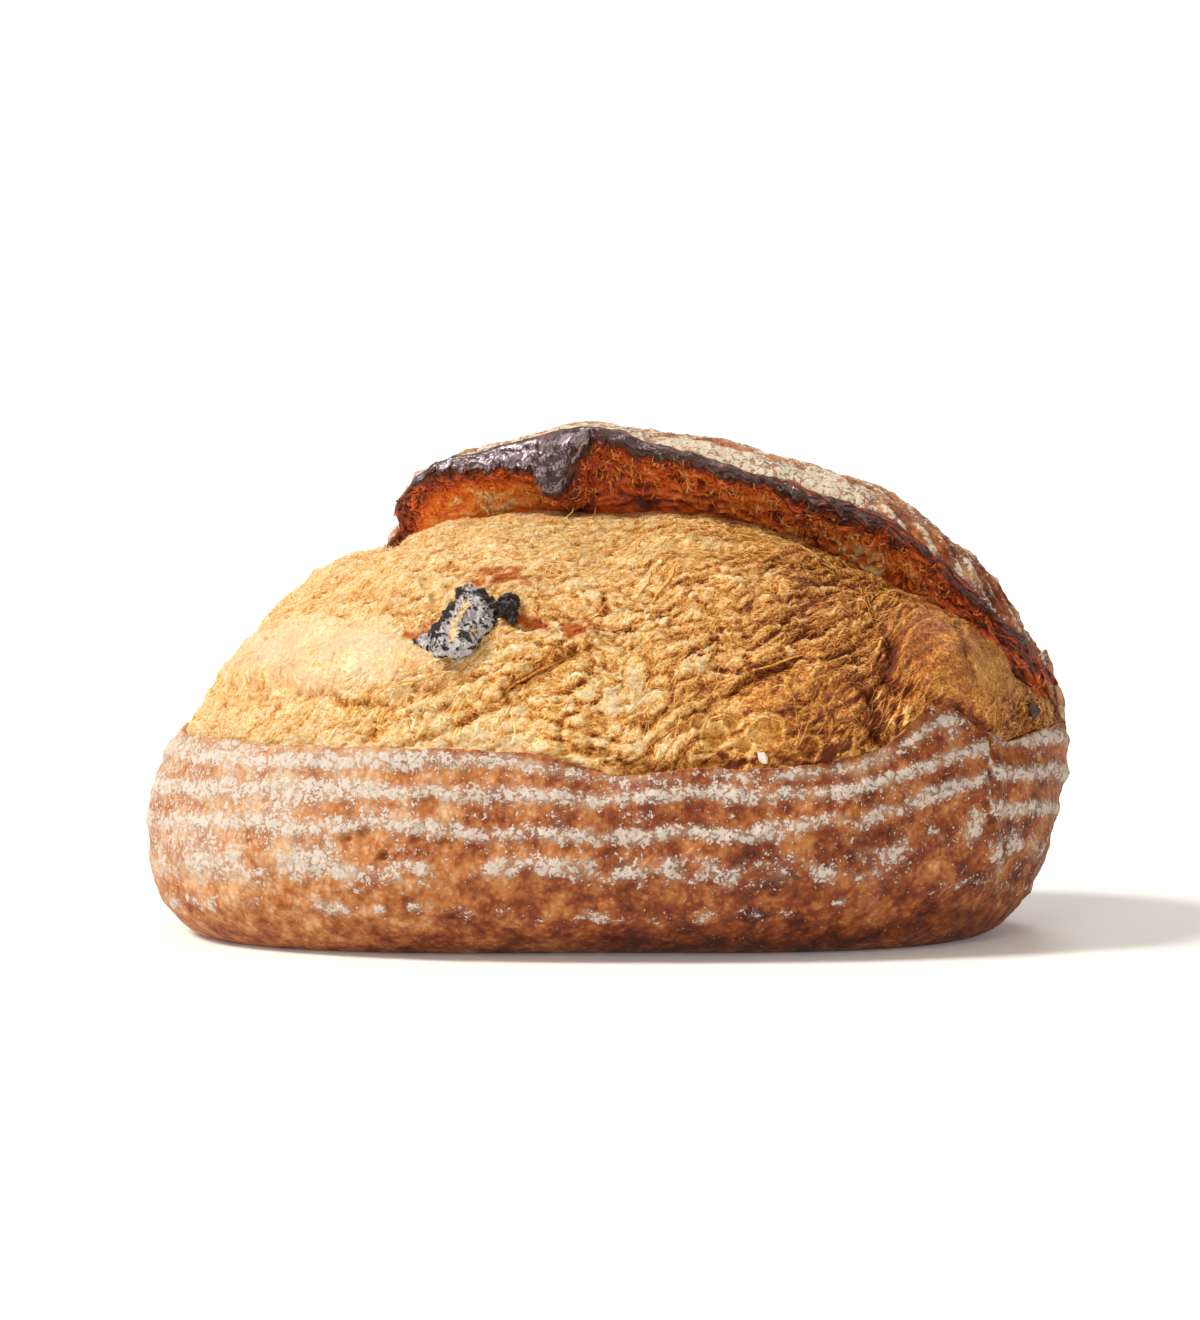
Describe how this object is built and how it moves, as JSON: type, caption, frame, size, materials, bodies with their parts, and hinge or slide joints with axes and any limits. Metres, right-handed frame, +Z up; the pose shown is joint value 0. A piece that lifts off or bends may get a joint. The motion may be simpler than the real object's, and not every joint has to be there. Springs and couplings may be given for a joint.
{
  "type": "sourdough loaf",
  "caption": "Oval sourdough loaf with a floured, ringed crust below, a wide open bloom along one side, a charred ear arching over it and a dark dried fruit baked into the bloom.",
  "frame": {"origin": "centre of the bounding box's bottom face, on the surface the loaf rests on", "axes": "+X along the loaf, to the right as seen from its open side; +Z up; the open side with the bloom and ear faces -Y"},
  "size_m": [0.2491, 0.1759, 0.1388],
  "materials": {
    "crust": "baked bread crust: matt golden brown, white flour rings on the lower crust, pale amber fibrous bloom, glossy charred ear",
    "fruit": "charred dried fruit: near-black, wrinkled, semi-gloss with floury creases"
  },
  "bodies": {
    "root": {"loaf": "crust", "dark_fruit": "fruit"}
  },
  "joints": []
}
